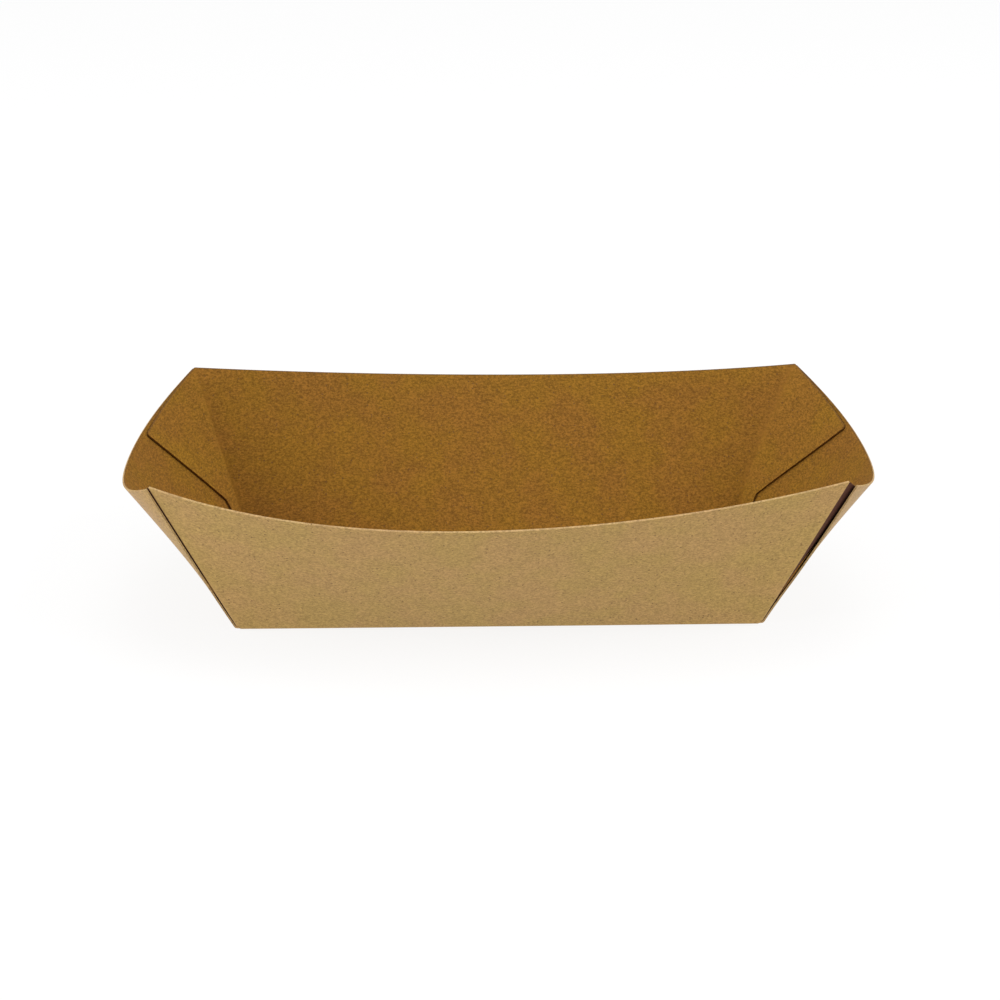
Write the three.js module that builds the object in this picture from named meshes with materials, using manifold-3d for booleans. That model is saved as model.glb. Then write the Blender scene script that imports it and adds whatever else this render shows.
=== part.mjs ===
// A paper food tray, folded from one die-cut sheet of kraft board and glued at its four corners.
// Two long side panels and two end panels stand on a flat base. Each long side carries a flap at
// both ends: the flap turns the corner and is glued against the inside of the end panel.
// Millimetres, +Z up, X along the tray. The origin is under the middle of the tray's overall box.

import * as THREE from 'three';
import { mergeVertices } from 'three/addons/utils/BufferGeometryUtils.js';
import Module from 'manifold-3d';

const wasm = await Module();
wasm.setup();

// Driving dimensions of the board and the base
const BOARD = 0.45;
const BASE_LENGTH = 130;
const BASE_WIDTH = 45.4;

// The rim's four corners, and how far each leans out past the base
const CORNER_HEIGHT = 46;
const CORNER_LEAN_LENGTHWAYS = 16;
const CORNER_LEAN_WIDTHWAYS = 19;

// Between the corners the board swells outwards, and its rim comes down as it leans
const SIDE_BOW = 11.7;
const SIDE_DIP = 6.7;
const SIDE_FULLNESS = 0.13;
const RIGHT_END_BOW = 11.8;
const LEFT_END_BOW = 11;
const END_DIP = 8.7;
const END_FULLNESS = 0.38;

// The folded sheet is a little out of square: each side's dip lies off centre, and the rim is sheared
const DIP_SKEW_SHARE = 0.2;
const RIM_SHEAR = 0.8;

// Radii of the folds to the middle of the board. The back right corner is a soft bend: it is pressed
// inwards from a share of the height up, less again at the rim, and the dent dies out along both walls.
const CREASE_RADIUS = 0.5;
const CORNER_RADIUS = 1;
const SOFT_CORNER_RADIUS = 3;
const SOFT_CORNER_DENT = 3;
const SOFT_FROM_SHARE = 0.4;
const DENT_RETURN_POWER = 3;
const SIDE_DENT_POWER = 6;
const END_DENT_POWER = 4;

// Glue flaps: widths are measured straight from the end of the corner fold, heights along that fold.
// The front flaps' tips sit lower than the back ones'.
const FLAP_FOOT = 1.1;
const FLAP_ROOT_WIDTH = 0.8;
const FLAP_KNEE_WIDTH = 4.2;
const FLAP_KNEE_HEIGHT = 18;
const FLAP_TOP_WIDTH = 28.4;
const FRONT_FLAP_DROP = 4.2;
const BACK_FLAP_DROP = 1.2;
const FLAP_TOP_ROUND = 1.4;
const FLAP_LIFT = 0.25;
// The back side was folded a little to the right of its creases, so its left flap is the wider one
const BACK_FOLD_DRIFT = 0.6;

// The strip of glue under each flap: its shares of the flap's width and of the fold's length
const GLUE_GAP = 0.2;
const GLUE_START_SHARE = 0.35;
const GLUE_END_SHARE = 0.75;
const GLUE_LOW_SHARE = 0.6;
const GLUE_HIGH_SHARE = 0.9;

// The end panel's free edges: how far each is cut back from the corner fold, and gapes from the flap.
// The front right one stands well open.
const BASE_NOTCH = 0.6;
const EDGE_SET_BACK = 0.5;
const EDGE_GAPE = 0.05;
const OPEN_SET_BACK = 2.6;
const OPEN_GAPE = 1.4;
const GAPE_REACH = 14;

// How finely the curved board is faceted
const SIDE_COLUMNS = 28;
const END_COLUMNS = 22;
const FLAP_COLUMNS = 8;
const FOLD_STEPS = 4;
const WALL_ROWS = 6;
const FOOT_ROWS = 5;
const ROUND_ROW_SHARES = [0.6, 0.9, 1];

// How finely forms are measured: the step for a direction, the halvings of a search, and equal points
const SAMPLE_STEP = 1e-4;
const SEARCH_HALVINGS = 40;
const SAME_POINT = 1e-4;

const halfLength = BASE_LENGTH / 2;
const halfWidth = BASE_WIDTH / 2;
const plySpacing = BOARD + GLUE_GAP;
const cornerLength = Math.hypot(CORNER_HEIGHT, CORNER_LEAN_LENGTHWAYS, CORNER_LEAN_WIDTHWAYS);
const flapFoot = FLAP_FOOT / cornerLength;
const flapKnee = FLAP_KNEE_HEIGHT / cornerLength;
const flapRound = 1 - FLAP_TOP_ROUND / cornerLength;

const mix = THREE.MathUtils.lerp;
const vector = (x, y, z) => new THREE.Vector3(x, y, z);
const halfTurn = (p) => vector(-p.x, -p.y, p.z);
const steps = (count) => Array.from({ length: count + 1 }, (_, i) => i / count);

// How much of a wall's bow is reached at t, which runs from -1 to 1 between the two corners
function swell(t, fullness, skew = 0) {
  return (1 - t * t) * (1 + fullness * t * t) * (1 - skew * t);
}

// How far a soft corner has left its crease at the height v: not at all at the base, and least at the rim
const softness = (v) => THREE.MathUtils.smoothstep(v, 0, SOFT_FROM_SHARE);
const dentAt = (v) => softness(v) * (1 - v ** DENT_RETURN_POWER);

// A side panel, as a ruled sheet from its crease to its rim: t runs along +X, v runs up.
// It is given for the front; the back one is the same turned half round.
function sideOf(leftDent) {
  const form = (t, v) => {
    const bulge = swell(t, SIDE_FULLNESS, DIP_SKEW_SHARE);
    const foot = vector(t * halfLength, -halfWidth, 0);
    const rim = vector(
      t * (halfLength + CORNER_LEAN_LENGTHWAYS) - RIM_SHEAR,
      -(halfWidth + CORNER_LEAN_WIDTHWAYS) - SIDE_BOW * bulge,
      CORNER_HEIGHT - SIDE_DIP * bulge,
    );
    const point = foot.lerp(rim, v);
    point.x += leftDent * dentAt(v) * Math.max(0, -t) ** SIDE_DENT_POWER;
    return point;
  };
  return { form };
}

// An end's inner ply, in which its two flaps lie: u runs along +Y, v runs up.
// It is given for the right; the left one is the same turned half round.
function endOf(bow, backDent, front, back) {
  const form = (u, v) => {
    const bulge = swell(u, END_FULLNESS);
    const foot = vector(halfLength, u * halfWidth, 0);
    const rim = vector(
      halfLength + CORNER_LEAN_LENGTHWAYS + RIM_SHEAR * u + bow * bulge,
      u * (halfWidth + CORNER_LEAN_WIDTHWAYS),
      CORNER_HEIGHT - END_DIP * bulge,
    );
    const point = foot.lerp(rim, v);
    point.x -= backDent * dentAt(v) * Math.max(0, u) ** END_DENT_POWER;
    return point;
  };
  return { form, front, back };
}

// Direction of a form along its first parameter, and its outward normal
function along(form, t, v) {
  return form(t + SAMPLE_STEP, v).sub(form(t - SAMPLE_STEP, v)).normalize();
}

function outward(form, t, v) {
  return along(form, t, v).cross(form(t, 1).sub(form(t, 0))).normalize();
}

// Points round a fold at apex, from the first direction to the second
function bend(apex, from, to, radius) {
  const opening = from.angleTo(to);
  const reach = radius / Math.tan(opening / 2);
  const between = from.clone().add(to).normalize();
  const centre = apex.clone().addScaledVector(between, radius / Math.sin(opening / 2));
  const first = apex.clone().addScaledVector(from, reach).sub(centre);
  const axis = first.clone().cross(apex.clone().addScaledVector(to, reach).sub(centre)).normalize();
  return Array.from({ length: FOLD_STEPS + 1 }, (_, i) => {
    const turned = first.clone().applyAxisAngle(axis, ((Math.PI - opening) * i) / FOLD_STEPS);
    return turned.add(centre);
  });
}

// Where a line straight from the corner at u = start reaches the given distance on an end's inner ply
function acrossEnd(end, start, v, distance) {
  const corner = end.form(start, v);
  let near = start;
  let far = 0;
  for (let i = 0; i < SEARCH_HALVINGS; i += 1) {
    const middle = (near + far) / 2;
    if (end.form(middle, v).distanceTo(corner) < distance) near = middle;
    else far = middle;
  }
  return near;
}

// Width of a flap at the height v: root, knee, then the long edge up to the rounded top corner
function flapWidth(v) {
  const low = (v - flapFoot) / (flapKnee - flapFoot);
  if (v < flapKnee) return mix(FLAP_ROOT_WIDTH, FLAP_KNEE_WIDTH, low);
  const straight = mix(FLAP_KNEE_WIDTH, FLAP_TOP_WIDTH, (v - flapKnee) / (1 - flapKnee));
  const below = (1 - v) * cornerLength;
  const round = Math.max(0, 1 - below / FLAP_TOP_ROUND);
  return straight - FLAP_TOP_ROUND * (1 - Math.sqrt(1 - round * round));
}

// Points round the fold at an end's corner, from the side panel to the flap
function cornerFold(side, end, start, v) {
  const fromSide = start < 0 ? along(side.form, 1, v).negate() : halfTurn(along(side.form, -1, v));
  const fromEnd = along(end.form, start, v).multiplyScalar(-start);
  const corner = start < 0 ? end.front : end.back;
  return bend(end.form(start, v), fromSide, fromEnd, mix(CORNER_RADIUS, corner.radius, dentAt(v)));
}

// Where a flap has a share of its width, as a place on the end's inner ply
function flapPlace(side, end, start, v, share) {
  const folded = cornerFold(side, end, start, v).at(-1).distanceTo(end.form(start, v));
  const { drift, drop } = start < 0 ? end.front : end.back;
  const distance = folded + share * (flapWidth(v) + drift * Math.min(1, v / flapKnee));
  const height = v * (1 - (drop * distance) / (FLAP_TOP_WIDTH * cornerLength));
  return { u: acrossEnd(end, start, height, distance), height, lift: FLAP_LIFT * share };
}

function flapPoint(end, { u, height, lift }) {
  return end.form(u, height).addScaledVector(outward(end.form, u, height), -lift);
}

// The fold and the flap at an end's corner, going away from the side panel
function cornerRow(side, end, start, v) {
  const places = steps(FLAP_COLUMNS).slice(1).map((share) => flapPlace(side, end, start, v, share));
  return [...cornerFold(side, end, start, v), ...places.map((place) => flapPoint(end, place))];
}

// Heights of a wall's rows, from above the base crease to the rim, with rows at the flap's knee
// and round its top corner
function wallLevels() {
  const low = steps(FOOT_ROWS).slice(0, -1).map((share) => mix(flapFoot, flapKnee, share));
  const high = steps(WALL_ROWS).map((share) => mix(flapKnee, flapRound, share));
  const round = ROUND_ROW_SHARES.map((share) => mix(flapRound, 1, share));
  return [...low, ...high, ...round];
}

// A side panel with its flaps: rows of points from the flat base, round the crease, to the rim.
// The end ahead is the one at its right, the end behind is the one at its left.
function sideRows(side, ahead, behind) {
  const walls = wallLevels().map((v) => {
    const left = cornerRow(side, behind, 1, v).map(halfTurn).reverse();
    const right = cornerRow(side, ahead, -1, v);
    const middle = side.form(0, v);
    const span = (edge, point) => edge.distanceTo(point) / edge.distanceTo(middle);
    const first = -1 + span(side.form(-1, v), left.at(-1));
    const last = 1 - span(side.form(1, v), right[0]);
    const panel = steps(SIDE_COLUMNS).slice(1, -1).map((share) => side.form(mix(first, last, share), v));
    return { wrap: [...left, ...panel, ...right], panel: [left.at(-1), ...panel, right[0]] };
  });
  const crease = walls[0].panel.map((above, i) => {
    const edge = halfLength - BASE_NOTCH;
    const foot = vector(mix(-edge, edge, i / SIDE_COLUMNS), -halfWidth, 0);
    return bend(foot, vector(0, 1, 0), above.clone().sub(foot).normalize(), CREASE_RADIUS);
  });
  const hem = Array.from({ length: FOLD_STEPS + 1 }, (_, row) => crease.map((arc) => arc[row]));
  return { hem: [...hem, walls[0].panel], wrap: walls.map((wall) => wall.wrap), foot: hem[0] };
}

// A point of an end panel, outside its flaps: its free edges gape a little away from them
function endPoint(end, u, v) {
  const point = end.form(u, v);
  const fade = (corner) => Math.max(0, 1 - point.distanceTo(end.form(corner, v)) / GAPE_REACH) ** 2;
  const gape = softness(v) * (end.front.gape * fade(-1) + end.back.gape * fade(1));
  return point.clone().addScaledVector(outward(end.form, u, v), plySpacing + gape);
}

// Columns of an end panel at the height v: only the outermost ones move with the free edges
function endColumns(end, v) {
  const columns = steps(END_COLUMNS).map((share) => mix(-1, 1, share));
  const cutBack = (corner) => mix(BASE_NOTCH, corner.setBack, softness(v));
  columns[0] = acrossEnd(end, -1, v, cutBack(end.front));
  columns[END_COLUMNS] = acrossEnd(end, 1, v, cutBack(end.back));
  return columns;
}

// An end panel: rows of points from the flat base, round the crease, to the rim
function endRows(end) {
  const wall = wallLevels().map((v) => endColumns(end, v).map((u) => endPoint(end, u, v)));
  const crease = endColumns(end, 0).map((u, i) => {
    const slope = end.form(u, 1).sub(end.form(u, 0));
    const foot = end.form(u, 0).addScaledVector(outward(end.form, u, 0), plySpacing);
    foot.addScaledVector(slope, -foot.z / slope.z);
    return bend(foot, vector(-1, 0, 0), wall[0][i].clone().sub(foot).normalize(), CREASE_RADIUS);
  });
  const hem = Array.from({ length: FOLD_STEPS + 1 }, (_, row) => crease.map((arc) => arc[row]));
  return { panel: [...hem, ...wall], foot: hem[0] };
}

const turnRows = (rows) => rows.map((row) => row.map(halfTurn));

// Triangles of a grid of points, facing the inside of the tray
function gridTriangles(rows) {
  const points = [];
  for (let i = 0; i + 1 < rows.length; i += 1) {
    for (let j = 0; j + 1 < rows[i].length; j += 1) {
      const [a, b, c, d] = [rows[i][j], rows[i + 1][j], rows[i + 1][j + 1], rows[i][j + 1]];
      points.push(a, b, c, a, c, d);
    }
  }
  return points;
}

// The flat of the base, whose outline is the start of the four creases
function baseTriangles(outline) {
  const contour = outline.map((p) => new THREE.Vector2(p.x, p.y));
  return THREE.ShapeUtils.triangulateShape(contour, []).flatMap((face) => face.map((i) => outline[i]));
}

// One indexed surface from loose triangles
function joined(points) {
  const geometry = new THREE.BufferGeometry().setFromPoints(points);
  return mergeVertices(geometry, SAME_POINT);
}

// Gives a surface the thickness of the board, half to each side, and closes its free edges
function thicken(surface, thickness) {
  surface.computeVertexNormals();
  const position = surface.getAttribute('position');
  const normal = surface.getAttribute('normal');
  const index = Array.from(surface.getIndex().array);
  const count = position.count;
  const points = [];
  for (const side of [0.5, -0.5]) {
    for (let i = 0; i < count; i += 1) {
      const offset = vector(normal.getX(i), normal.getY(i), normal.getZ(i));
      offset.multiplyScalar(side * thickness);
      points.push(offset.add(vector(position.getX(i), position.getY(i), position.getZ(i))));
    }
  }
  const edges = new Set();
  const faces = [];
  for (let i = 0; i < index.length; i += 3) {
    const [a, b, c] = index.slice(i, i + 3);
    faces.push(a, b, c, c + count, b + count, a + count);
    for (const [from, to] of [[a, b], [b, c], [c, a]]) edges.add(`${from},${to}`);
  }
  for (const edge of edges) {
    const [from, to] = edge.split(',').map(Number);
    if (edges.has(`${to},${from}`)) continue;
    faces.push(to, from, from + count, to, from + count, to + count);
  }
  const shell = new THREE.BufferGeometry().setFromPoints(points);
  shell.setIndex(faces);
  return shell;
}

// The glue under a flap, reaching from the middle of the flap to the middle of the end panel
function glueStrip(side, end, start) {
  const rows = steps(2).map((rise) => steps(4).map((across) => {
    const level = mix(GLUE_LOW_SHARE, GLUE_HIGH_SHARE, rise);
    const place = flapPlace(side, end, start, level, mix(GLUE_START_SHARE, GLUE_END_SHARE, across));
    return flapPoint(end, place).lerp(endPoint(end, place.u, place.height), 0.5);
  }));
  return thicken(joined(gridTriangles(rows)), plySpacing);
}

function solidOf(geometry) {
  const position = new Float32Array(geometry.getAttribute('position').array);
  const index = new Uint32Array(geometry.getIndex().array);
  return new wasm.Manifold(new wasm.Mesh({ numProp: 3, vertProperties: position, triVerts: index }));
}

function geometryOf(solid) {
  const { vertProperties, triVerts, numProp } = solid.getMesh();
  const geometry = new THREE.BufferGeometry();
  const position = new Float32Array((vertProperties.length / numProp) * 3);
  for (let i = 0; i < position.length; i += 1) {
    position[i] = vertProperties[Math.floor(i / 3) * numProp + (i % 3)];
  }
  geometry.setAttribute('position', new THREE.BufferAttribute(position, 3));
  geometry.setIndex(new THREE.BufferAttribute(new Uint32Array(triVerts), 1));
  geometry.computeVertexNormals();
  return geometry;
}

// The whole sheet, folded: base, two sides with their flaps, and two ends, then the glue
function foldedTray() {
  const plain = { setBack: EDGE_SET_BACK, gape: EDGE_GAPE, radius: CORNER_RADIUS, drift: 0 };
  const tight = { ...plain, drop: FRONT_FLAP_DROP };
  const open = { ...tight, setBack: OPEN_SET_BACK, gape: OPEN_GAPE };
  const wide = { ...plain, drop: BACK_FLAP_DROP, drift: BACK_FOLD_DRIFT };
  const soft = { ...wide, radius: SOFT_CORNER_RADIUS, drift: -BACK_FOLD_DRIFT };
  const frontSide = sideOf(0);
  const backSide = sideOf(SOFT_CORNER_DENT);
  const rightEnd = endOf(RIGHT_END_BOW, SOFT_CORNER_DENT, open, soft);
  const leftEnd = endOf(LEFT_END_BOW, 0, wide, tight);
  const front = sideRows(frontSide, rightEnd, leftEnd);
  const back = sideRows(backSide, leftEnd, rightEnd);
  const right = endRows(rightEnd);
  const left = endRows(leftEnd);
  const sheet = joined([
    ...baseTriangles([...front.foot, ...right.foot, ...[...back.foot, ...left.foot].map(halfTurn)]),
    ...gridTriangles(front.hem),
    ...gridTriangles(front.wrap),
    ...gridTriangles(turnRows(back.hem)),
    ...gridTriangles(turnRows(back.wrap)),
    ...gridTriangles(right.panel),
    ...gridTriangles(turnRows(left.panel)),
  ]);
  const glued = solidOf(thicken(sheet, BOARD))
    .add(solidOf(glueStrip(frontSide, rightEnd, -1)))
    .add(solidOf(glueStrip(backSide, rightEnd, 1)))
    .add(solidOf(glueStrip(backSide, leftEnd, -1)).rotate([0, 0, 180]))
    .add(solidOf(glueStrip(frontSide, leftEnd, 1)).rotate([0, 0, 180]));
  const { min, max } = glued.boundingBox();
  return glued.translate([-(min[0] + max[0]) / 2, -(min[1] + max[1]) / 2, -min[2]]);
}

const kraftBoard = new THREE.MeshStandardMaterial({ color: 0xb08a55, roughness: 0.85, metalness: 0 });

const folded = new THREE.Mesh(geometryOf(foldedTray()), kraftBoard);
folded.name = 'folded_sheet';

const tray = new THREE.Group();
tray.name = 'paper_food_tray';
tray.add(folded);

export default tray;
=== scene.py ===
import math

import bpy
from mathutils import Matrix, Vector


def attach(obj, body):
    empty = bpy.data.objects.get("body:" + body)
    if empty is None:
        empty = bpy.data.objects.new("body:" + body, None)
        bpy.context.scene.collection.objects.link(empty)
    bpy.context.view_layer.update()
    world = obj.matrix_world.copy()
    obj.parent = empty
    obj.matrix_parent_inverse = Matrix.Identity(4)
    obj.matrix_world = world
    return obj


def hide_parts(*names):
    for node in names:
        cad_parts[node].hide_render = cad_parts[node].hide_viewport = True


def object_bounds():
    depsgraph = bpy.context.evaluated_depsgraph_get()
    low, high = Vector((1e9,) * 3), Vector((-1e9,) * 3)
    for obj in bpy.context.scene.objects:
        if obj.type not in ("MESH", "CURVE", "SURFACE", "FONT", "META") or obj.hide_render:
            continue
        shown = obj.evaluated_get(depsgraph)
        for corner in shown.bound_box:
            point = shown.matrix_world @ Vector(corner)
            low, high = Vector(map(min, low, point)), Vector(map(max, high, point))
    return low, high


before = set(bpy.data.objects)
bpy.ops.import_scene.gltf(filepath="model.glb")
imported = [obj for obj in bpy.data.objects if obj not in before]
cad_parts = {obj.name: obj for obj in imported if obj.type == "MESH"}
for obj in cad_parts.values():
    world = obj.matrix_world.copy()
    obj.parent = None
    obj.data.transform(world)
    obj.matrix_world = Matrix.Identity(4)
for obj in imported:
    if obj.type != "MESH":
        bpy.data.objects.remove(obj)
cad_box = [list(corner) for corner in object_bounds()]


# Kraft board: the tray is one sheet of unbleached, uncoated board, with fine grain, flecks, specks
# and slow clouds of colour. It is deeper and warmer brown inside, paler where it is creased (partly
# scuffed fibres, partly a painted highlight) and darkened in a thin band just inside the rim. The
# flaps' outsides and cut edges are darkened as painted shade, and their insides are lightened as
# painted light.
OUTSIDE_YELLOWISH = (0.366, 0.236, 0.069, 1)
OUTSIDE_PINKISH = (0.381, 0.231, 0.079, 1)
INSIDE_YELLOWISH = (0.225, 0.106, 0.0085, 1)
INSIDE_PINKISH = (0.222, 0.097, 0.0115, 1)
CUT_YELLOWISH = (0.42, 0.28, 0.12, 1)
CUT_PINKISH = (0.4, 0.25, 0.11, 1)
# Painted light: the flaps' insides are a little lighter than the panels, for the light they catch at their
# tilt.
LIT_FLAP_INSIDE_YELLOWISH = (0.241, 0.117, 0.0092, 1)
LIT_FLAP_INSIDE_PINKISH = (0.238, 0.107, 0.0122, 1)
# Painted shade: the flaps' cut edges are dark, for the shadowed gap between the plies along the flaps.
SHADED_FLAP_CUT_YELLOWISH = (0.15, 0.066, 0.008, 1)
SHADED_FLAP_CUT_PINKISH = (0.14, 0.058, 0.01, 1)
FLECK_BROWN = (0.09, 0.045, 0.018, 1)
# Painted shade: the flaps' outsides are dark brown, for the shadowed slit at the front right corner.
SHADED_FLAP_OUTSIDE_YELLOWISH = (0.065, 0.022, 0.009, 1)
SHADED_FLAP_OUTSIDE_PINKISH = (0.06, 0.018, 0.009, 1)
# The brown of a thin band just inside the rim, which is darkened on the inside faces.
RIM_BAND_BROWN = (0.1, 0.055, 0.025, 1)
CLOUD_SCALE = 70
PATCH_SCALE = 420
GRAIN_SCALE = 1900
FIBRE_SCALE = 800
FLECK_SCALE = 900
SPECK_SCALE = 700
FIBRES_LIE_FLAT = (0.7, 0.7, 1.15)
GRAIN_SHADES = (0.72, 1.26)
PATCH_SHADES = (0.97, 1.03)
INSIDE_CONTRAST = 1.4
FLECK_SIZE = 0.26
FLECK_SHARE = 0.35
FLECK_STRENGTH = 0.65
SPECK_SIZE = 0.2
SPECK_SHARE = 0.3
SPECK_STRENGTH = 0.6
SPECK_PALER = 1.4
# Creases are paler: partly scuffed fibres, partly a painted highlight on the folds, most of all on the soft
# back right one.
SCUFF_AND_HIGHLIGHT_STRENGTHS = (0.15, 0.6)
SCUFF_AND_HIGHLIGHT_PALER = 1.12
RIM_BAND_STRENGTHS = (0.3, 0.7)
ROUGHNESSES = (0.97, 0.82)
SHINE = 0.2
BUMP_DEPTH = 0.00006
BUMP_STRENGTH = 0.6
NAP_SHEEN = 0.14
NAP_TINT = (1, 0.8, 1, 1)
NAP_ROUGHNESS = 0.4


def noise(tree, place, scale, detail, rough):
    node = tree.nodes.new("ShaderNodeTexNoise")
    node.inputs["Scale"].default_value = scale
    node.inputs["Detail"].default_value = detail
    node.inputs["Roughness"].default_value = rough
    tree.links.new(place, node.inputs["Vector"])
    return node.outputs["Fac"]


def ramp(tree, value, low, high, to_low, to_high):
    node = tree.nodes.new("ShaderNodeMapRange")
    node.interpolation_type = "SMOOTHSTEP"
    for name, number in (("From Min", low), ("From Max", high), ("To Min", to_low), ("To Max", to_high)):
        node.inputs[name].default_value = number
    tree.links.new(value, node.inputs["Value"])
    return node.outputs["Result"]


def arithmetic(tree, operation, first, second):
    node = tree.nodes.new("ShaderNodeMath")
    node.operation = operation
    tree.links.new(first, node.inputs[0])
    tree.links.new(second, node.inputs[1])
    return node.outputs[0]


def tinted(tree, share, first, second):
    """The first colour, going over to the second by the share."""
    node = tree.nodes.new("ShaderNodeMix")
    node.data_type = "RGBA"
    tree.links.new(share, node.inputs["Factor"])
    for end, colour in ((node.inputs["A"], first), (node.inputs["B"], second)):
        if isinstance(colour, tuple):
            end.default_value = colour
        else:
            tree.links.new(colour, end)
    return node.outputs["Result"]


def scaled(tree, colour, factor):
    node = tree.nodes.new("ShaderNodeVectorMath")
    node.operation = "SCALE"
    tree.links.new(colour, node.inputs[0])
    if isinstance(factor, float):
        node.inputs["Scale"].default_value = factor
    else:
        tree.links.new(factor, node.inputs["Scale"])
    return node.outputs["Vector"]


def spots(tree, place, scale, size, rare):
    """Small scattered spots: a share of all cells has one, about twice size of its cell across."""
    cells = tree.nodes.new("ShaderNodeTexVoronoi")
    cells.inputs["Scale"].default_value = scale
    tree.links.new(place, cells.inputs["Vector"])
    parts = tree.nodes.new("ShaderNodeSeparateColor")
    tree.links.new(cells.outputs["Color"], parts.inputs["Color"])
    chosen = ramp(tree, parts.outputs["Red"], 1 - rare, 1 - rare * 0.5, 0, 1)
    near = ramp(tree, cells.outputs["Distance"], size * 0.5, size, 1, 0)
    return arithmetic(tree, "MULTIPLY", chosen, near)


def painted(tree, name):
    """A mask that was painted on the sheet's vertices under this name."""
    node = tree.nodes.new("ShaderNodeAttribute")
    node.attribute_name = name
    return node.outputs["Fac"]


kraft = bpy.data.node_groups.new("kraft_fibres", "ShaderNodeTree")
for name in ("Yellowish", "Pinkish"):
    kraft.interface.new_socket(name, in_out="INPUT", socket_type="NodeSocketColor")
for name in ("Contrast", "Rim Band"):
    kraft.interface.new_socket(name, in_out="INPUT", socket_type="NodeSocketFloat")
kraft.interface.new_socket("Color", in_out="OUTPUT", socket_type="NodeSocketColor")
for name in ("Roughness", "Height"):
    kraft.interface.new_socket(name, in_out="OUTPUT", socket_type="NodeSocketFloat")
given = kraft.nodes.new("NodeGroupInput")
result = kraft.nodes.new("NodeGroupOutput")
coords = kraft.nodes.new("ShaderNodeTexCoord")
laid = kraft.nodes.new("ShaderNodeMapping")
laid.inputs["Scale"].default_value = FIBRES_LIE_FLAT
kraft.links.new(coords.outputs["Object"], laid.inputs["Vector"])
plain = coords.outputs["Object"]
fibred = laid.outputs["Vector"]
cloud = noise(kraft, plain, CLOUD_SCALE, 4, 0.55)
patch = noise(kraft, plain, PATCH_SCALE, 3, 0.6)
grain = noise(kraft, fibred, GRAIN_SCALE, 3, 0.9)
fibre = noise(kraft, fibred, FIBRE_SCALE, 2, 0.5)

clouded = ramp(kraft, cloud, 0.35, 0.65, 0, 1)
ground = tinted(kraft, clouded, given.outputs["Yellowish"], given.outputs["Pinkish"])
grain_shade = ramp(kraft, grain, 0.34, 0.66, *GRAIN_SHADES)
patch_shade = ramp(kraft, patch, 0.3, 0.7, *PATCH_SHADES)
shade = arithmetic(kraft, "MULTIPLY", grain_shade, patch_shade)
shade = arithmetic(kraft, "POWER", shade, given.outputs["Contrast"])
flecked = ramp(kraft, spots(kraft, plain, FLECK_SCALE, FLECK_SIZE, FLECK_SHARE), 0, 1, 0, FLECK_STRENGTH)
specked = ramp(kraft, spots(kraft, fibred, SPECK_SCALE, SPECK_SIZE, SPECK_SHARE), 0, 1, 0, SPECK_STRENGTH)
colour = tinted(kraft, flecked, scaled(kraft, ground, shade), FLECK_BROWN)
colour = tinted(kraft, specked, colour, scaled(kraft, ground, SPECK_PALER))

# Paler creases: partly scuffed fibres, partly a painted highlight on the folds.
crease_paling = ramp(kraft, patch, 0.35, 0.65, *SCUFF_AND_HIGHLIGHT_STRENGTHS)
scuff_and_highlight = arithmetic(kraft, "MULTIPLY", painted(kraft, "crease"), crease_paling)
colour = tinted(kraft, scuff_and_highlight, colour, scaled(kraft, ground, SCUFF_AND_HIGHLIGHT_PALER))
# A thin band just inside the rim is darkened on the inside faces.
rim_band_share = ramp(kraft, patch, 0.3, 0.6, *RIM_BAND_STRENGTHS)
rim_band = arithmetic(kraft, "MULTIPLY", painted(kraft, "rim"), rim_band_share)
rim_band = arithmetic(kraft, "MULTIPLY", rim_band, given.outputs["Rim Band"])
kraft.links.new(tinted(kraft, rim_band, colour, RIM_BAND_BROWN), result.inputs["Color"])
kraft.links.new(ramp(kraft, grain, 0.3, 0.7, *ROUGHNESSES), result.inputs["Roughness"])
kraft.links.new(arithmetic(kraft, "ADD", grain, fibre), result.inputs["Height"])


def board_face(name, yellowish, pinkish, contrast=1, rim_band=0):
    """The finish of one face of the board, between two tones of its colour."""
    paint = bpy.data.materials.new(name)
    paint.use_nodes = True
    nodes = paint.node_tree.nodes
    links = paint.node_tree.links
    shader = nodes["Principled BSDF"]
    shader.inputs["Specular IOR Level"].default_value = SHINE
    fibres = nodes.new("ShaderNodeGroup")
    fibres.node_tree = kraft
    fibres.inputs["Yellowish"].default_value = yellowish
    fibres.inputs["Pinkish"].default_value = pinkish
    fibres.inputs["Contrast"].default_value = contrast
    fibres.inputs["Rim Band"].default_value = rim_band
    bump = nodes.new("ShaderNodeBump")
    bump.inputs["Distance"].default_value = BUMP_DEPTH
    bump.inputs["Strength"].default_value = BUMP_STRENGTH
    links.new(fibres.outputs["Color"], shader.inputs["Base Color"])
    links.new(fibres.outputs["Roughness"], shader.inputs["Roughness"])
    links.new(fibres.outputs["Height"], bump.inputs["Height"])
    links.new(bump.outputs["Normal"], shader.inputs["Normal"])
    return paint


outside = board_face("kraft_outside", OUTSIDE_YELLOWISH, OUTSIDE_PINKISH)
nap = outside.node_tree.nodes["Principled BSDF"].inputs
nap["Sheen Weight"].default_value = NAP_SHEEN
nap["Sheen Tint"].default_value = NAP_TINT
nap["Sheen Roughness"].default_value = NAP_ROUGHNESS
inside = board_face("kraft_inside", INSIDE_YELLOWISH, INSIDE_PINKISH, INSIDE_CONTRAST, rim_band=1)
cut_edge = board_face("kraft_cut_edge", CUT_YELLOWISH, CUT_PINKISH)
# The flaps' insides: a little lighter than the panels, as painted light.
lit_flap_inside = board_face(
    "kraft_flap_inside", LIT_FLAP_INSIDE_YELLOWISH, LIT_FLAP_INSIDE_PINKISH, INSIDE_CONTRAST, rim_band=1
)
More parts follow.
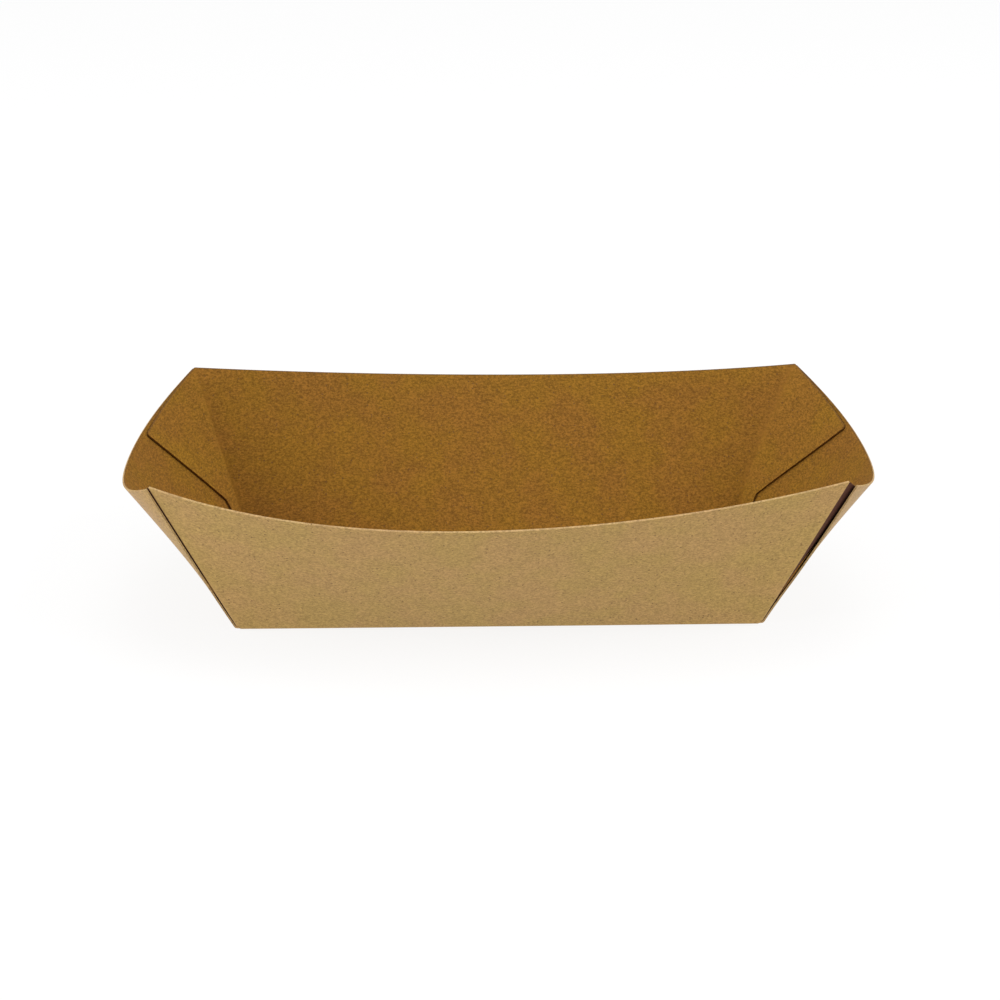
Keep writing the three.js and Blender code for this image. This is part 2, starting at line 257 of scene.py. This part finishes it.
# The flaps' outsides: dark brown, as painted shade for the slit at the front right corner.
shaded_flap_outside = board_face("kraft_flap_outside", SHADED_FLAP_OUTSIDE_YELLOWISH, SHADED_FLAP_OUTSIDE_PINKISH)
# The flaps' cut edges: dark, as painted shade for the shadowed gap between the plies.
shaded_flap_cut_edge = board_face("kraft_flap_cut_edge", SHADED_FLAP_CUT_YELLOWISH, SHADED_FLAP_CUT_PINKISH)
WALL_SLOT = 0
FLAP_SLOT = 3
BOARD_FACES = (outside, inside, cut_edge, shaded_flap_outside, lit_flap_inside, shaded_flap_cut_edge)


# The long side panels are hinged on the base's long creases and lean outwards. The board springs
# back between the corners, so each panel swells in the middle and its rim dips there.
MM = 0.001
BOARD = 0.45
HALF_LENGTH = 65
HALF_WIDTH = 22.7
CORNER_HEIGHT = 46
LEAN_LENGTHWAYS = 16
LEAN_WIDTHWAYS = 19
CORNER_LENGTH = math.hypot(CORNER_HEIGHT, LEAN_LENGTHWAYS, LEAN_WIDTHWAYS)
RIM_SHEAR = 0.8
SIDE_BOW = 11.7
SIDE_DIP = 6.7
SIDE_FULLNESS = 0.13
DIP_SKEW = 0.2
SOFT_CORNER_DENT = 3
SIDE_DENT_POWER = 6
DENT_RETURN_POWER = 3
SOFT_FROM = 0.4


def mix(a, b, share):
    return a + (b - a) * share


def half_turn(point):
    return Vector((-point.x, -point.y, point.z))


def swell(t, fullness, skew=0):
    """How much of a wall's bow is reached at t, from -1 to 1 between its corners."""
    return (1 - t * t) * (1 + fullness * t * t) * (1 - skew * t)


def softness(height):
    """How far a soft corner has left its crease, from the base up."""
    share = min(1, height / SOFT_FROM)
    return share * share * (3 - 2 * share)


def dent_at(height):
    """How much of a soft corner's dent is reached: none at the base and none at the rim."""
    return softness(height) * (1 - height ** DENT_RETURN_POWER)


def side_form(left_dent):
    """A long side as a ruled sheet, given for the front: the back one is turned half round."""
    def point(t, height):
        bulge = swell(t, SIDE_FULLNESS, DIP_SKEW)
        foot = Vector((t * HALF_LENGTH, -HALF_WIDTH, 0))
        rim = Vector((
            t * (HALF_LENGTH + LEAN_LENGTHWAYS) - RIM_SHEAR,
            -(HALF_WIDTH + LEAN_WIDTHWAYS) - SIDE_BOW * bulge,
            CORNER_HEIGHT - SIDE_DIP * bulge,
        ))
        here = foot.lerp(rim, height)
        here.x += left_dent * dent_at(height) * max(0, -t) ** SIDE_DENT_POWER
        return here
    return point


front_side = side_form(0)
back_side = side_form(SOFT_CORNER_DENT)


# The end panels are hinged on the short creases and bow out more strongly than the sides. Each
# stands outside two glue flaps: this is the form of the flaps' ply, which lies just inside it.
RIGHT_END_BOW = 11.8
LEFT_END_BOW = 11
END_DIP = 8.7
END_FULLNESS = 0.38
END_DENT_POWER = 4
FORM_STEP = 1e-4
SEARCH_HALVINGS = 30


def end_form(bow, back_dent):
    """The inner ply of an end, given for the right: the left one is turned half round."""
    def point(u, height):
        bulge = swell(u, END_FULLNESS)
        foot = Vector((HALF_LENGTH, u * HALF_WIDTH, 0))
        rim = Vector((
            HALF_LENGTH + LEAN_LENGTHWAYS + RIM_SHEAR * u + bow * bulge,
            u * (HALF_WIDTH + LEAN_WIDTHWAYS),
            CORNER_HEIGHT - END_DIP * bulge,
        ))
        here = foot.lerp(rim, height)
        here.x -= back_dent * dent_at(height) * max(0, u) ** END_DENT_POWER
        return here
    return point


def along(form, t, height):
    """The direction in which a form runs at one height."""
    return (form(t + FORM_STEP, height) - form(t - FORM_STEP, height)).normalized()


def outward(form, t, height):
    """The direction that points straight out of a form's face."""
    return along(form, t, height).cross(form(t, 1) - form(t, 0)).normalized()


def across_end(end, corner, height, distance):
    """Where a straight line from a corner reaches the given distance on an end."""
    near, far = corner, 0
    origin = end(corner, height)
    for _ in range(SEARCH_HALVINGS):
        middle = (near + far) / 2
        if (end(middle, height) - origin).length < distance:
            near = middle
        else:
            far = middle
    return near


right_end = end_form(RIGHT_END_BOW, SOFT_CORNER_DENT)
left_end = end_form(LEFT_END_BOW, 0)


# The corner folds and glue flaps are the outer parts of each long side panel: creased, turned round
# the corner and laid against the inside of the end. The back right fold is a soft bend, not a crease.
# Each flap is narrow at its root, widens at a knee, and ends in a small rounded tip below the rim.
FOLD_STEPS = 8
CORNER_RADIUS = 0.5
OPEN_CORNER_RADIUS = 1.1
SOFT_CORNER_RADIUS = 3
FLAP_COLUMNS = 17
LAST_EDGE_SHARE = 0.988
FLAP_FOOT = 1.1
FLAP_ROOT_WIDTH = 0.8
FLAP_KNEE_WIDTH = 4.2
FLAP_KNEE_HEIGHT = 18
FLAP_TOP_WIDTH = 28.4
FRONT_FLAP_DROP = 6
BACK_FLAP_DROP = 1.2
FLAP_TOP_ROUND = 1.4
FLAP_LIFT = 0.05
BACK_FOLD_DRIFT = 0.6
FOOT = FLAP_FOOT / CORNER_LENGTH
KNEE = FLAP_KNEE_HEIGHT / CORNER_LENGTH
ROUND = 1 - FLAP_TOP_ROUND / CORNER_LENGTH


def bend(apex, start, finish, radius):
    """Points round a fold at apex, from the first direction to the second."""
    opening = start.angle(finish)
    centre = apex + (start + finish).normalized() * (radius / math.sin(opening / 2))
    first = apex + start * (radius / math.tan(opening / 2)) - centre
    last = apex + finish * (radius / math.tan(opening / 2)) - centre
    turns = [(math.pi - opening) * i / FOLD_STEPS for i in range(FOLD_STEPS + 1)]
    return [centre + Matrix.Rotation(turn, 3, first.cross(last)) @ first for turn in turns]


def flap_width(height):
    """How wide a flap is at one height, from its root over the knee to the rounded top corner."""
    if height < KNEE:
        return mix(FLAP_ROOT_WIDTH, FLAP_KNEE_WIDTH, (height - FOOT) / (KNEE - FOOT))
    straight = mix(FLAP_KNEE_WIDTH, FLAP_TOP_WIDTH, (height - KNEE) / (1 - KNEE))
    rounded = max(0, 1 - (1 - height) * CORNER_LENGTH / FLAP_TOP_ROUND)
    return straight - FLAP_TOP_ROUND * (1 - math.sqrt(1 - rounded * rounded))


def edge_shares(count):
    """Shares of a width from 0 to 1, with one extra close beside the free edge at 1."""
    return [i / (count - 1) for i in range(count - 1)] + [LAST_EDGE_SHARE, 1]


def corner_row(side, end, corner, height, radius, drop, drift):
    """The fold and the flap at one height, going away from the side panel."""
    if corner < 0:
        from_side = -along(side, 1, height)
    else:
        from_side = half_turn(along(side, -1, height))
    apex = end(corner, height)
    bent = mix(CORNER_RADIUS, radius, dent_at(height))
    points = bend(apex, from_side, along(end, corner, height) * -corner, bent)
    folded = (points[-1] - apex).length
    width = flap_width(height) + drift * min(1, height / KNEE)
    for share in edge_shares(FLAP_COLUMNS)[1:]:
        distance = folded + share * width
        lower = height * (1 - drop * distance / (FLAP_TOP_WIDTH * CORNER_LENGTH))
        u = across_end(end, corner, lower, distance)
        points.append(end(u, lower) - outward(end, u, lower) * FLAP_LIFT * share)
    return points


# Side panel, folds and flaps are one strip of board, and a rounded crease joins it to the base.
# It is laid out as a fine grid, row by row from the base up, for the front and for the back.
CREASE_RADIUS = 0.5
BASE_NOTCH = 0.6
SIDE_COLUMNS = 96
KNEE_ROWS = 8
STRAIGHT_ROWS = 16
ROUND_ROWS = 6
WALL_LEVELS = (
    [mix(FOOT, KNEE, i / KNEE_ROWS) for i in range(KNEE_ROWS)]
    + [mix(KNEE, ROUND, i / STRAIGHT_ROWS) for i in range(STRAIGHT_ROWS)]
    + [mix(ROUND, 1, i / ROUND_ROWS) for i in range(ROUND_ROWS + 1)]
)


def board_strip(name, rows, creased, rim, slot):
    """A strip of board from rows of points. Its masks and slots are given for a column and a row."""
    columns = len(rows[0]) - 1
    bpy.ops.object.select_all(action="DESELECT")
    bpy.ops.mesh.primitive_grid_add(x_subdivisions=columns, y_subdivisions=len(rows) - 1, size=2)
    strip = bpy.context.object
    strip.name = name
    for paint in BOARD_FACES:
        strip.data.materials.append(paint)
    crease_mask = strip.data.attributes.new("crease", "FLOAT", "POINT")
    rim_mask = strip.data.attributes.new("rim", "FLOAT", "POINT")
    places = []
    for vertex in strip.data.vertices:
        column = round((vertex.co.x + 1) / 2 * columns)
        row = round((vertex.co.y + 1) / 2 * (len(rows) - 1))
        places.append((column, row))
        vertex.co = rows[row][column] * MM
        crease_mask.data[vertex.index].value = creased(column, row)
        rim_mask.data[vertex.index].value = rim(row)
    for face in strip.data.polygons:
        face.material_index = slot(min(places[index][0] for index in face.vertices))
    return strip


def hem_rows(feet, inwards, above):
    """Rows round a base crease, from the flat of the base to the lowest row of a wall."""
    arcs = [bend(foot, inwards, (top - foot).normalized(), CREASE_RADIUS) for foot, top in zip(feet, above)]
    return [[arc[step] for arc in arcs] for step in range(FOLD_STEPS + 1)] + [above]


def near_rim(row, rows):
    """The mask of a rim: full on the last row and partly on the one before."""
    return {rows - 1: 1, rows - 2: 0.5}.get(row, 0)


def long_side(name, side, ahead, behind):
    """A side panel with its two flaps: ahead and behind are the ends at its right and left."""
    walls = []
    for height in WALL_LEVELS:
        left = [half_turn(point) for point in corner_row(side, behind["form"], 1, height, *behind["back"])]
        right = corner_row(side, ahead["form"], -1, height, *ahead["front"])
        middle = side(0, height)
        first = -1 + (side(-1, height) - left[0]).length / (side(-1, height) - middle).length
        last = 1 - (side(1, height) - right[0]).length / (side(1, height) - middle).length
        inner = [side(mix(first, last, i / SIDE_COLUMNS), height) for i in range(1, SIDE_COLUMNS)]
        walls.append((left[::-1], inner, right))
    edge = HALF_LENGTH - BASE_NOTCH
    feet = [Vector((mix(-edge, edge, i / SIDE_COLUMNS), -HALF_WIDTH, 0)) for i in range(SIDE_COLUMNS + 1)]
    above = [walls[0][0][-1]] + walls[0][1] + [walls[0][2][0]]
    hem = board_strip(
        name + "_hem", hem_rows(feet, Vector((0, 1, 0)), above),
        creased=lambda column, row: row <= FOLD_STEPS,
        rim=lambda row: 0,
        slot=lambda column: WALL_SLOT,
    )
    last_column = SIDE_COLUMNS + 2 * (FLAP_COLUMNS + FOLD_STEPS)
    glued = FLAP_COLUMNS + FOLD_STEPS // 2

    def from_edge(column):
        return min(column, last_column - column)

    wall = board_strip(
        name, [left + inner + right for left, inner, right in walls],
        creased=lambda column, row: FLAP_COLUMNS <= from_edge(column) <= FLAP_COLUMNS + FOLD_STEPS,
        rim=lambda row: near_rim(row, len(walls)),
        slot=lambda column: WALL_SLOT if glued <= column < last_column - glued else FLAP_SLOT,
    )
    return [hem, wall]


plain_corner = (CORNER_RADIUS, FRONT_FLAP_DROP, 0)
open_corner = (OPEN_CORNER_RADIUS, FRONT_FLAP_DROP, 0)
wide_corner = (CORNER_RADIUS, BACK_FLAP_DROP, BACK_FOLD_DRIFT)
soft_corner = (SOFT_CORNER_RADIUS, BACK_FLAP_DROP, -BACK_FOLD_DRIFT)
right = {"form": right_end, "front": open_corner, "back": soft_corner}
left = {"form": left_end, "front": wide_corner, "back": plain_corner}
front_strips = long_side("front_side", front_side, right, left)
back_strips = long_side("back_side", back_side, left, right)


# Each end panel is one more strip, outside its two flaps and glued to them. Its free edges are cut
# back from the corner folds. They lie close to the flaps, but the front right one stands well off.
GLUE_GAP = 0.2
END_COLUMNS = 58
EDGE_SET_BACK = 0.3
EDGE_GAPE = 0.05
OPEN_SET_BACK = 2.8
OPEN_GAPE = 0.7
GAPE_REACH = 14


def end_panel(name, end, front_edge, back_edge):
    """An end panel, outside the flaps' ply. Its edges are given as set-back and gape."""
    def place(u, height):
        point = end(u, height)
        gape = 0
        for corner, (_, opening) in ((-1, front_edge), (1, back_edge)):
            away = (point - end(corner, height)).length
            gape += softness(height) * opening * max(0, 1 - away / GAPE_REACH) ** 2
        return point + outward(end, u, height) * (BOARD + GLUE_GAP + gape)

    def columns(height):
        first = across_end(end, -1, height, mix(BASE_NOTCH, front_edge[0], softness(height)))
        last = across_end(end, 1, height, mix(BASE_NOTCH, back_edge[0], softness(height)))
        half = edge_shares(END_COLUMNS // 2)
        return [mix(0, first, share) for share in half[::-1]] + [mix(0, last, share) for share in half[1:]]

    walls = [[place(u, height) for u in columns(height)] for height in WALL_LEVELS]
    feet = []
    for u in columns(0):
        slope = end(u, 1) - end(u, 0)
        foot = end(u, 0) + outward(end, u, 0) * (BOARD + GLUE_GAP)
        feet.append(foot - slope * (foot.z / slope.z))
    rows = hem_rows(feet, Vector((-1, 0, 0)), walls[0]) + walls[1:]
    return board_strip(
        name, rows,
        creased=lambda column, row: row <= FOLD_STEPS,
        rim=lambda row: near_rim(row, len(rows)),
        slot=lambda column: WALL_SLOT,
    )


tight_edge = (EDGE_SET_BACK, EDGE_GAPE)
open_edge = (OPEN_SET_BACK, OPEN_GAPE)
right_panel = end_panel("right_end", right_end, open_edge, tight_edge)
left_panel = end_panel("left_end", left_end, tight_edge, tight_edge)


# The flat of the base joins the four creases, with a small relief cut across each of its corners.
# The back side and the left end are turned to their places, and with the base the sheet is whole.
SAME_POINT = 0.002
IN_THE_FLAT = 0.001
CORNER_MARGIN = 0.01

bpy.ops.object.select_all(action="DESELECT")
for strip in back_strips + [left_panel]:
    strip.select_set(True)
bpy.context.view_layer.objects.active = left_panel
bpy.ops.transform.rotate(value=math.pi, orient_axis="Z", center_override=(0, 0, 0))
bpy.ops.object.transform_apply(location=True, rotation=True, scale=True)
for strip in front_strips + [right_panel]:
    strip.select_set(True)
bpy.ops.object.join()
sheet = left_panel
sheet.name = "tray_sheet"

bpy.ops.object.mode_set(mode="EDIT")
bpy.ops.mesh.select_mode(type="VERT")
bpy.ops.mesh.select_all(action="SELECT")
bpy.ops.mesh.remove_doubles(threshold=SAME_POINT * MM)


def select_base_outline(keep):
    """Selects the free vertices round the flat of the base for which keep is true."""
    bpy.ops.mesh.select_all(action="DESELECT")
    bpy.ops.object.mode_set(mode="OBJECT")
    used = {}
    for face in sheet.data.polygons:
        for edge in face.edge_keys:
            used[edge] = used.get(edge, 0) + 1
    free = {index for edge, count in used.items() if count == 1 for index in edge}
    for vertex in sheet.data.vertices:
        flat = abs(vertex.co.z) < IN_THE_FLAT * MM
        vertex.select = vertex.index in free and flat and keep(vertex.co)
    bpy.ops.object.mode_set(mode="EDIT")


def near_corner(x, y):
    """Whether a place is out beyond the relief cut of the corner on these sides."""
    past_x = (HALF_LENGTH - BASE_NOTCH - CORNER_MARGIN) * MM
    past_y = (HALF_WIDTH - BASE_NOTCH - CORNER_MARGIN) * MM
    return lambda place: x * place.x > past_x and y * place.y > past_y


for x, y in ((1, 1), (1, -1), (-1, 1), (-1, -1)):
    select_base_outline(near_corner(x, y))
    bpy.ops.mesh.edge_face_add()
select_base_outline(lambda place: True)
bpy.ops.mesh.edge_face_add()
bpy.ops.mesh.select_all(action="SELECT")
bpy.ops.mesh.normals_make_consistent(inside=False)
bpy.ops.object.mode_set(mode="OBJECT")


# The sheet gets the thickness of the board, half to each side, with the inside and the cut edges in
# their own finish. A cutting die rounds the board's edges very slightly. The finished sheet is set
# down on its base, with its middle over the origin, and fitted to the part's box by a hair.
EDGE_ROUND = 0.05
SHARP_FROM = math.radians(60)
SMOOTH_UP_TO = math.radians(40)

bpy.ops.object.modifier_add(type="SOLIDIFY")
board = sheet.modifiers[-1]
board.thickness = BOARD * MM
board.offset = 0
board.material_offset = 1
board.material_offset_rim = 2
bpy.ops.object.modifier_add(type="BEVEL")
rounding = sheet.modifiers[-1]
rounding.width = EDGE_ROUND * MM
rounding.segments = 1
rounding.limit_method = "ANGLE"
rounding.angle_limit = SHARP_FROM
for modifier in list(sheet.modifiers):
    bpy.ops.object.modifier_apply(modifier=modifier.name)
bpy.ops.object.shade_smooth_by_angle(angle=SMOOTH_UP_TO)

places = [vertex.co for vertex in sheet.data.vertices]
low = Vector([min(place[axis] for place in places) for axis in range(3)])
high = Vector([max(place[axis] for place in places) for axis in range(3)])
fit = min((cad_box[1][axis] - cad_box[0][axis]) / (high[axis] - low[axis]) for axis in range(3))
set_down = Matrix.Translation(-Vector(((low.x + high.x) / 2, (low.y + high.y) / 2, low.z)))
sheet.data.transform(Matrix.Scale(min(1, fit), 4) @ set_down)
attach(sheet, "root")
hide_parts("folded_sheet")


# The studio floor is a plain white light table, which shines a little up at the tray from below. It
# keeps the tray's faint shadow and goes over into a white surround. From underneath it is clear, so
# that the underside of the base can be looked at.
FLOOR_SIZE = 12
FLOOR_WHITE = (0.9, 0.9, 0.9, 1)
FLOOR_ROUGHNESS = 0.9
FLOOR_SHINE = 0.1
FLOOR_GLOW = 0.8
FLOOR_SHOWN_WHITE = 0.85
SURROUND_LIGHT = 0.55


def seen_white(tree):
    """1 for what is seen straight, mirrored or through glass, and 0 for light that falls on things."""
    rays = tree.nodes.new("ShaderNodeLightPath")
    seen = rays.outputs["Is Camera Ray"]
    for name in ("Is Glossy Ray", "Is Transmission Ray"):
        seen = arithmetic(tree, "MAXIMUM", seen, rays.outputs[name])
    return seen


bpy.ops.object.select_all(action="DESELECT")
bpy.ops.mesh.primitive_plane_add(size=FLOOR_SIZE)
floor = bpy.context.object
floor.name = "floor"
floor_paint = bpy.data.materials.new("white_floor")
floor_paint.use_nodes = True
nodes = floor_paint.node_tree.nodes
links = floor_paint.node_tree.links
nodes["Principled BSDF"].inputs["Base Color"].default_value = FLOOR_WHITE
nodes["Principled BSDF"].inputs["Roughness"].default_value = FLOOR_ROUGHNESS
nodes["Principled BSDF"].inputs["Specular IOR Level"].default_value = FLOOR_SHINE
shown = nodes.new("ShaderNodeEmission")
share = nodes.new("ShaderNodeMapRange")
share.inputs["To Min"].default_value = FLOOR_GLOW
share.inputs["To Max"].default_value = FLOOR_SHOWN_WHITE
mixed = nodes.new("ShaderNodeMixShader")
links.new(seen_white(floor_paint.node_tree), share.inputs["Value"])
links.new(share.outputs["Result"], mixed.inputs["Fac"])
links.new(nodes["Principled BSDF"].outputs["BSDF"], mixed.inputs[1])
links.new(shown.outputs["Emission"], mixed.inputs[2])
side = nodes.new("ShaderNodeNewGeometry")
clear = nodes.new("ShaderNodeBsdfTransparent")
either_side = nodes.new("ShaderNodeMixShader")
links.new(side.outputs["Backfacing"], either_side.inputs["Fac"])
links.new(mixed.outputs["Shader"], either_side.inputs[1])
links.new(clear.outputs["BSDF"], either_side.inputs[2])
links.new(either_side.outputs["Shader"], nodes["Material Output"].inputs["Surface"])
floor.data.materials.append(floor_paint)

surround = bpy.data.worlds.new("white_surround")
surround.use_nodes = True
bpy.context.scene.world = surround
nodes = surround.node_tree.nodes
links = surround.node_tree.links
strength = nodes.new("ShaderNodeMapRange")
strength.inputs["To Min"].default_value = SURROUND_LIGHT
strength.inputs["To Max"].default_value = 1
links.new(seen_white(surround.node_tree), strength.inputs["Value"])
links.new(strength.outputs["Result"], nodes["Background"].inputs["Strength"])
nodes["Background"].inputs["Color"].default_value = (1, 1, 1, 1)


# Four large soft lamps: one high on each side, which leave the back panel darker beside its left
# fold, one over the mouth of the tray, and a flat one by the floor in front, for the outside only.
LAMPS = {
    "lamp_left": {"place": (-1.3, -0.45, 0.8), "size": (0.8, 0.8), "power": 13},
    "lamp_right": {"place": (1.2, -0.45, 1.1), "size": (0.8, 0.8), "power": 14},
    "lamp_above": {"place": (0.1, 0.1, 1.5), "size": (1.0, 1.0), "power": 7.5},
    "lamp_front": {"place": (0.0, -1.2, 0.03), "size": (1.2, 0.04), "power": 2},
}

for name, lamp in LAMPS.items():
    bpy.ops.object.light_add(type="AREA", location=lamp["place"])
    light = bpy.context.object
    light.name = name
    light.data.shape = "RECTANGLE"
    light.data.size, light.data.size_y = lamp["size"]
    light.data.energy = lamp["power"]
    light.rotation_euler = Vector(lamp["place"]).to_track_quat("Z", "Y").to_euler()

bpy.context.scene.view_settings.view_transform = "Standard"


# The camera stands a little left of the tray's middle and looks down on it, turned very slightly to
# the right. Its place was worked out from the rims, the base line and the corners in the photograph.
CAMERA_PLACE = Vector((-0.0169, -0.4681, 0.2231))
CAMERA_PITCH = math.radians(22.97)
CAMERA_YAW = math.radians(2.08)
CAMERA_ROLL = math.radians(0.34)
CAMERA_LENS = 72
CAMERA_SENSOR = 36

bpy.ops.object.camera_add()
camera = bpy.context.object
camera.name = "camera"
camera.data.lens = CAMERA_LENS
camera.data.sensor_width = CAMERA_SENSOR
camera.data.clip_start = 0.01
level = Matrix.Rotation(-CAMERA_YAW, 4, "Z") @ Matrix.Rotation(math.pi / 2 - CAMERA_PITCH, 4, "X")
camera.matrix_world = Matrix.Translation(CAMERA_PLACE) @ level @ Matrix.Rotation(CAMERA_ROLL, 4, "Z")
bpy.context.scene.camera = camera
